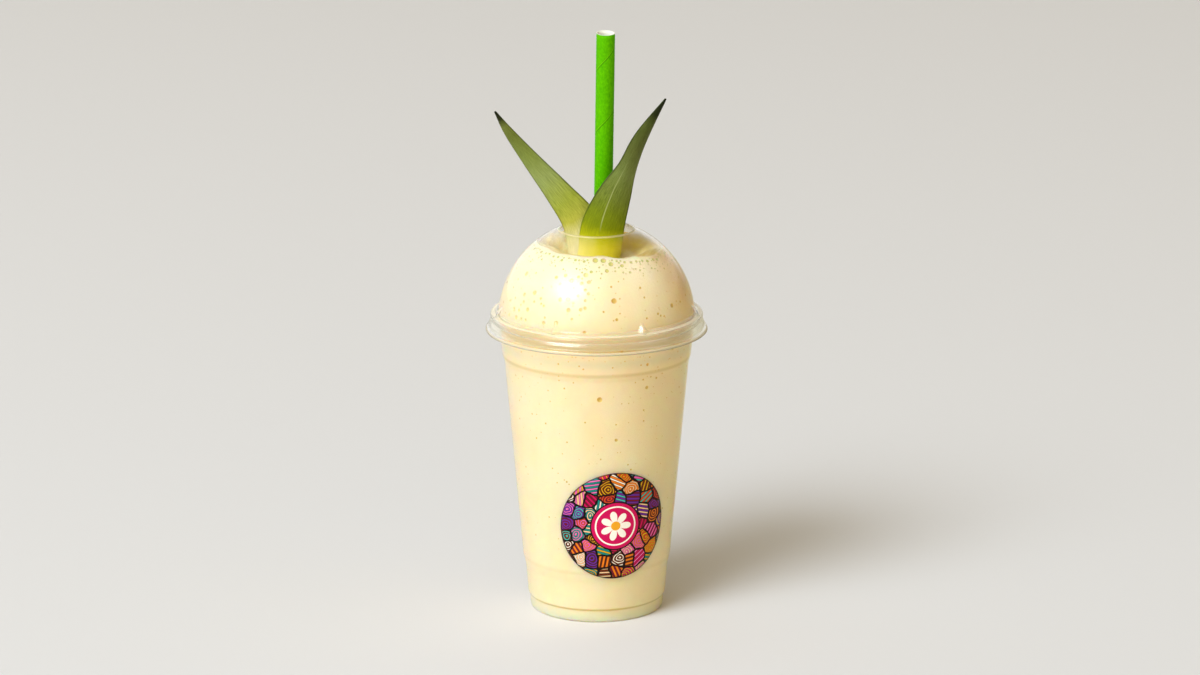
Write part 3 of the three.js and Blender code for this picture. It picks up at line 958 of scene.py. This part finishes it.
def all_bubbles():
    """Places and radii of all bubbles. A scattered one is left out where it would touch another."""
    draw = random.Random(SEED)
    cells = {}

    def keep(angle, z, radius, check=True):
        r, a = skin_radius(z), math.radians(angle)
        place = Vector((r * math.sin(a), -r * math.cos(a), z))
        cell = tuple(int(c // CELL_SIZE) for c in place)
        near = [
            other for dx in (-1, 0, 1) for dy in (-1, 0, 1) for dz in (-1, 0, 1)
            for other in cells.get((cell[0] + dx, cell[1] + dy, cell[2] + dz), [])
        ]
        if check and any((place - p).length < ROOM_SHARE * (radius + r) + ROOM_GAP for p, r in near):
            return
        cells.setdefault(cell, []).append((place, radius))

    def sized(radii, power=1.0):
        return radii[0] + (radii[1] - radii[0]) * draw.random() ** power

    def scatter(count, radii, power, angles, heights):
        for _ in range(count):
            keep(draw.uniform(*angles), draw.uniform(*heights), sized(radii, power))

    def contact_at(angle):
        return float(contact_height(np.array([angle]))[0])

    for angle, z, radius in SHOWN_BUBBLES:
        keep(angle, z, radius, check=False)
    scatter(*BACK_BUBBLES)
    scatter(*FAINT_BUBBLES)
    for i in range(ROW_COUNT):
        angle = 360 * i / ROW_COUNT + draw.uniform(-ROW_SHIFT, ROW_SHIFT)
        radius = sized(ROW_RADII)
        keep(angle, contact_at(angle) - radius - draw.uniform(*ROW_GAPS), radius)
    for _ in range(FROTH_COUNT):
        angle = draw.uniform(0, 360)
        radius = sized(FROTH_RADII, FROTH_POWER)
        top = contact_at(angle) - radius - FROTH_GAP
        keep(angle, top - FROTH_DEPTH * draw.random() ** FROTH_CROWDING, radius)
    scatter(*DOME_BUBBLES)
    for _ in range(BODY_COUNT):
        angle = draw.triangular(-180, 180, BODY_MIDDLE)
        z = BODY_TOP - BODY_DEPTH * draw.random() ** BODY_CROWDING
        keep(angle, z, sized(BODY_RADII, BODY_POWER))
    return [item for group in cells.values() for item in group]


def unit_lens():
    """The points and triangles of a bubble's pit of radius 1 and depth 1, with a flat rim above the skin."""
    around = 2 * math.pi * np.arange(LENS_SIDES) / LENS_SIDES
    points = [(r * math.cos(a), r * math.sin(a), up) for r, up in LENS_RINGS for a in around]
    foot, top = len(points), len(points) + 1
    last_ring = len(LENS_RINGS) - 1
    corners = []
    for k in range(LENS_SIDES):
        after = (k + 1) % LENS_SIDES
        corners.append((foot, after, k))
        corners.append((top, last_ring * LENS_SIDES + k, last_ring * LENS_SIDES + after))
        for ring in range(last_ring):
            a, b = ring * LENS_SIDES + k, ring * LENS_SIDES + after
            corners += [(a, b, b + LENS_SIDES), (a, b + LENS_SIDES, a + LENS_SIDES)]
    return np.array(points + [(0, 0, LENS_FOOT), (0, 0, LENS_TOP)]), np.array(corners)


def bubble_cutter(bubbles):
    """One mesh of separate small lenses, each sunk in the drink's skin to the depth of its pit."""
    lens, corners = unit_lens()
    verts, faces = [], []
    for place, radius in bubbles:
        turn = np.array(skin_normal(place).to_track_quat("Z", "Y").to_matrix())
        faces.append(corners + len(lens) * len(verts))
        verts.append(np.array(place) + (lens * (radius, radius, radius * BUBBLE_DEPTH)) @ turn.T)
    cutter = new_object("bubbles", np.vstack(verts), np.vstack(faces).tolist())
    cutter.data.polygons.foreach_set("material_index", [2] * len(cutter.data.polygons))
    return cutter


def is_faint(place):
    angle = math.degrees(math.atan2(place.x, -place.y))
    lowest, highest = FAINT_HEIGHTS
    return FAINT_ANGLES[0] < angle < FAINT_ANGLES[1] and lowest < place.z < highest


def mark_pits(mesh, bubbles):
    """Marks how deep in a pit each point lies, from 0 at its rim to 1 in the middle of a large pit, and which
    pits are froth or faint."""
    tree = kdtree.KDTree(len(bubbles))
    for i, (place, _) in enumerate(bubbles):
        tree.insert(place, i)
    tree.balance()
    marks = {"deep": [], "froth": [], "faint": []}
    for vertex in mesh.vertices:
        place, i, distance = tree.find(vertex.co / MM)
        radius = bubbles[i][1]
        marks["deep"].append(max(0.0, 1 - distance / radius) * min(1.0, 0.2 + radius))
        marks["froth"].append(min(1.0, max(0.0, (place.z - FROTH_FROM) / FROTH_FADE)))
        marks["faint"].append(FAINTNESS if is_faint(place) else 0.0)
    for key, values in marks.items():
        mesh.attributes.new(key, "FLOAT", "POINT").data.foreach_set("value", values)


def cut_bubbles(piece):
    """Cuts the bubbles out of the drink as shallow pits, whose faces take the third material."""
    bubbles = all_bubbles()
    cutter = bubble_cutter(bubbles)
    for material in piece.data.materials:
        cutter.data.materials.append(material)
    modifier = piece.modifiers.new("pits", "BOOLEAN")
    modifier.operation = "DIFFERENCE"
    modifier.solver = "MANIFOLD"
    modifier.object = cutter
    graph = bpy.context.evaluated_depsgraph_get()
    mesh = bpy.data.meshes.new_from_object(piece.evaluated_get(graph))
    piece.modifiers.clear()
    piece.data = mesh
    bpy.data.objects.remove(cutter)
    mark_pits(mesh, bubbles)
    mesh.shade_smooth()
    mesh.set_sharp_from_angle(angle=math.radians(SHARP_ANGLE))


def make_drink(skin, top, pit):
    points, under_wall = drink_grid()
    kinds = [0] * under_wall + [1] * (len(points) - 1 - under_wall)
    piece = grid_mesh("drink_body", points, kinds=kinds)
    for material in (skin, top, pit):
        piece.data.materials.append(material)
    cut_bubbles(piece)
    return dress(piece, "drink", "drink")


def make_straw(green, white):
    """A paper tube. Its columns of points follow the strip's seam, which climbs to the right."""
    length = (STRAW_TOP - STRAW_FOOT).length
    stations = np.linspace(0, length, int(length / STRAW_STEP))
    near_seam = [0, 3.0, 6.0, SEAM_FADE]
    turns = np.concatenate([near_seam, np.linspace(SEAM_FADE, PLAIN_TO, PLAIN_COLUMNS)[1:], [355.0, 358.5]])
    groove = GROOVE_DEPTH * np.exp(-((turns / GROOVE_WIDTH) ** 2))
    groove += STRIP_STEP * np.clip(1 - turns / STRIP_STEP_WIDTH, 0, 1)
    rise = np.concatenate([stations, stations[::-1]])[:, None]
    outside = np.repeat([True, False], len(stations))[:, None]
    radius = np.where(outside, STRAW_R - groove, STRAW_R - STRAW_WALL)
    a = np.radians(turns + 360 * rise / STRAW_PITCH + SEAM_START)
    tube = np.stack(np.broadcast_arrays(radius * np.cos(a), radius * np.sin(a), rise), axis=-1)
    lean = Vector((0, 0, 1)).rotation_difference(STRAW_TOP - STRAW_FOOT).to_matrix()
    points = tube @ np.array(lean).T + np.array(STRAW_FOOT)
    # Masks for the painted shadow line at the seam and the painted highlight line beside it
    seam, edge = np.clip(1 - turns / SEAM_FADE, 0, 1), (turns > HIGHLIGHT_LINE_FROM) * 1.0
    marks = {key: np.tile(line, (len(rise), 1)) for key, line in (("seam", seam), ("edge", edge))}
    kinds = [0] * (len(stations) - 1) + [1] * (len(stations) + 1)
    piece = grid_mesh("straw_paper", points, True, marks=marks, kinds=kinds)
    return dress(piece, "straw", "straw_paper", green, white)


def smooth_rows(rows, count):
    """A smooth curve through rows of numbers."""
    rows = np.array(rows, float)
    ends = np.vstack([2 * rows[0] - rows[1], rows, 2 * rows[-1] - rows[-2]])
    out = []
    for t in np.linspace(0, len(rows) - 1, count):
        i = min(int(t), len(rows) - 2)
        f = t - i
        a, b, c, d = ends[i:i + 4]
        bend = (2 * a - 5 * b + 4 * c - d) * f ** 2
        twist = (3 * b - a - 3 * c + d) * f ** 3
        out.append(0.5 * (2 * b + (c - a) * f + bend + twist))
    return np.array(out)


def make_leaf(name, node, rows, material):
    """A channelled blade with fine ribs, lofted along a curve."""
    line = smooth_rows(rows, LEAF_ROWS)
    u_front = np.sin(np.linspace(-math.pi / 2, math.pi / 2, LEAF_COLUMNS))
    u = np.concatenate([u_front, u_front[::-1]])
    front = np.concatenate([np.ones(LEAF_COLUMNS), -np.ones(LEAF_COLUMNS)])
    body = 1 - u ** 2
    centres, halves, turns = line[:, :3], line[:, 3], np.radians(line[:, 4])
    tangents = np.gradient(centres, axis=0)
    tangents /= np.linalg.norm(tangents, axis=1)[:, None]
    grid = []
    for centre, half, turn, along in zip(centres, halves, turns, tangents):
        facing = np.array([math.sin(turn), -math.cos(turn), 0])
        across = np.cross(along, facing)
        across /= np.linalg.norm(across)
        outward = np.cross(across, along)
        thick = np.minimum(LEAF_EDGE_THICK + (LEAF_THICK - LEAF_EDGE_THICK) * body, half) / 2
        ribs = RIB_HEIGHT * np.cos(u * RIB_TURNS) * np.sqrt(np.clip(body, 0, 1)) * min(1, half / RIB_WHOLE_AT)
        rise = LEAF_BULGE * half * (body - 0.5) + front * (thick + ribs)
        grid.append(centre + np.outer(u * half, across) + np.outer(rise, outward))
    marks = {
        "along": np.repeat(np.arange(LEAF_ROWS)[:, None] / (LEAF_ROWS - 1), len(u), axis=1),
        "across": np.tile(u, (LEAF_ROWS, 1)),
    }
    piece = grid_mesh(name, np.stack(grid), marks=marks)
    return dress(piece, node, "leaf", material)


def wall_radius(z):
    """The radius of the cup's straight wall at a height."""
    share = (z - SHOULDER_TOP[1]) / (WALL_TOP[1] - SHOULDER_TOP[1])
    return SHOULDER_TOP[0] + (WALL_TOP[0] - SHOULDER_TOP[0]) * share


def make_sticker(material):
    """A paper disc bent round the wall."""
    angles = np.radians(even_angles(STICKER_COLUMNS))
    rings = [1.0, *np.linspace(STICKER_R / STICKER_RINGS, STICKER_R, STICKER_RINGS)]
    radius = np.array(rings + rings[::-1])[:, None]
    lift = np.repeat([STICKER_THICK, 0.0], len(rings))[:, None]
    x, up = radius * np.cos(angles), radius * np.sin(angles)
    z = STICKER_Z + up
    around = math.radians(STICKER_ANGLE) + x / wall_radius(z)
    points = round_axis(wall_radius(z) + STICKER_GAP + lift, around, z)
    marks = {"side": x / STICKER_R, "height": up / STICKER_R}
    piece = grid_mesh("sticker_paper", points, marks=marks)
    return dress(piece, "sticker", "sticker_paper", material)


# Stage

def floor_material():
    """Pale matt paper. The light that its right half throws back is warmer than the floor looks."""
    material, tree = new_material("floor")
    side = add(tree, "SeparateXYZ", Vector=add(tree, "TexCoord").outputs["Object"]).outputs["X"]
    share = maths("MULTIPLY_ADD", side, 2.0, 0.4)
    thrown = ramp(share, [(0.2, FLOOR_COLOUR), (0.65, FLOOR_BOUNCE_RIGHT)])
    path = add(tree, "LightPath").outputs
    away = maths("MAXIMUM", path["Is Diffuse Ray"], path["Is Glossy Ray"])
    colour = mixed(away, FLOOR_COLOUR, thrown)
    return painted(material, colour, 0.9)


def make_floor():
    corners = np.array([(-1, -1, 0), (1, -1, 0), (1, 1, 0), (-1, 1, 0)]) * FLOOR_HALF / MM
    floor = new_object("floor", corners, [(0, 1, 2, 3)])
    floor.data.materials.append(floor_material())


def make_camera():
    data = bpy.data.cameras.new("camera")
    data.lens = CAMERA_LENS
    data.sensor_fit = "HORIZONTAL"
    data.clip_start = CAMERA_NEAR
    camera = in_scene("camera", data)
    camera.location = CAMERA_PLACE
    camera.rotation_euler = (math.radians(90 - CAMERA_PITCH), 0, 0)
    bpy.context.scene.camera = camera


def make_key():
    """A large soft light, high at the left and in front, brightest in its middle."""
    data = bpy.data.lights.new("key", "AREA")
    data.shape = "ELLIPSE"
    data.size, data.size_y = KEY_SIZE
    data.energy = KEY_POWER
    data.color = KEY_COLOUR
    tree = empty_tree(data)
    across = add(tree, "NewGeometry").outputs["Parametric"]
    glow = ramp(distance_to(across, (0.5, 0.5, 0)), KEY_GLOW)
    add(tree, "OutputLight", Surface=add(tree, "Emission", Strength=glow).outputs[0])
    key = in_scene("key", data)
    key.location = KEY_TARGET + KEY_WAY.normalized() * KEY_DISTANCE
    key.rotation_euler = KEY_WAY.to_track_quat("Z", "Y").to_euler()


def studio_light(right, back, rise):
    """The light that falls on matt things, by the direction that it comes from."""
    light = tinted(1.0, ramp(back, LIGHT_BY_DEPTH), ramp(rise, LIGHT_BY_RISE))
    light = mixed(ramp(rise, [(0.85, 0.0), (1.0, 1.0)]), light, TOP_LIGHT)
    light = tinted(1.0, light, ramp(right, LIGHT_BY_SIDE))
    upper = ramp(rise, [(0.6, 0.0), (0.75, 1.0)])
    return tinted(1.0, light, mixed(upper, WHITE, ramp(right, UPPER_LIGHT_BY_SIDE)))


def veil_share(way):
    """How much of the bright patch lies in a direction: a band that leans back as it rises."""
    lean = maths("MULTIPLY_ADD", way["Z"], -0.45, 0.725)
    lean = maths("MULTIPLY_ADD", way["Y"], 0.5, lean)
    band = ramp(lean, [(0.17, 0.25), (0.27, 1.0), (0.45, 1.0), (0.55, 0.0)])
    rising = ramp(way["Z"], [(0.1, 0.1), (0.5, 0.4), (0.75, 1.0)])
    sideways = ramp(way["X"], [(0.35, 0.0), (0.55, 1.0)])
    return times(band, times(rising, sideways))


def studio_seen(way, right, back, rise):
    """The studio as the camera and the plastic see it: darker at the right, but for the bright patch."""
    seen = tinted(1.0, ramp(back, SEEN_BY_DEPTH), ramp(rise, SEEN_BY_RISE))
    high = ramp(rise, [(0.59, 0.0), (0.7, 1.0)])
    low = ramp(rise, [(0.56, 1.0), (0.6, 0.0)])
    high_share = mixed(high, WHITE, ramp(right, SEEN_HIGH_BY_SIDE))
    low_share = mixed(low, WHITE, ramp(right, SEEN_LOW_BY_SIDE))
    seen = tinted(1.0, seen, tinted(1.0, high_share, low_share))
    return mixed(veil_share(way), seen, VEIL_COLOUR, "ADD")


def make_world():
    world = bpy.data.worlds.new("world")
    tree = empty_tree(world)
    way = add(tree, "SeparateXYZ", Vector=add(tree, "TexCoord").outputs["Generated"]).outputs
    right, back, rise = (maths("MULTIPLY_ADD", way[axis], 0.5, 0.5) for axis in "XYZ")
    seen = add(tree, "Background", Color=studio_seen(way, right, back, rise)).outputs[0]
    light = add(tree, "Background", Color=studio_light(right, back, rise)).outputs[0]
    on_matt = add(tree, "LightPath").outputs["Is Diffuse Ray"]
    add(tree, "OutputWorld", Surface=mixed_shader(on_matt, seen, light))
    bpy.context.scene.world = world


bpy.context.scene.view_settings.view_transform = "Standard"
make_camera()
make_key()
make_world()
make_floor()
plastic = clear_plastic(*CUP_PLASTIC)
make_cup(plastic)
make_lid(plastic, clear_plastic(*RING_PLASTIC), clear_plastic(*LIP_PLASTIC), clear_plastic(*BEAD_PLASTIC))
make_drink(drink_material(*SKIN_LOOK), drink_material(*TOP_LOOK), bubble_material())
make_straw(straw_green(), straw_white())
leaf_left = leaf_material("leaf_left", LEFT_LEAF_COLOURS, 0.0, 0.0)
make_leaf("leaf_left_blade", "leaf_left", LEFT_LEAF, leaf_left)
leaf_right = leaf_material("leaf_right", RIGHT_LEAF_COLOURS, 0.55, 0.6)
make_leaf("leaf_right_blade", "leaf_right", RIGHT_LEAF, leaf_right)
make_sticker(sticker_material())
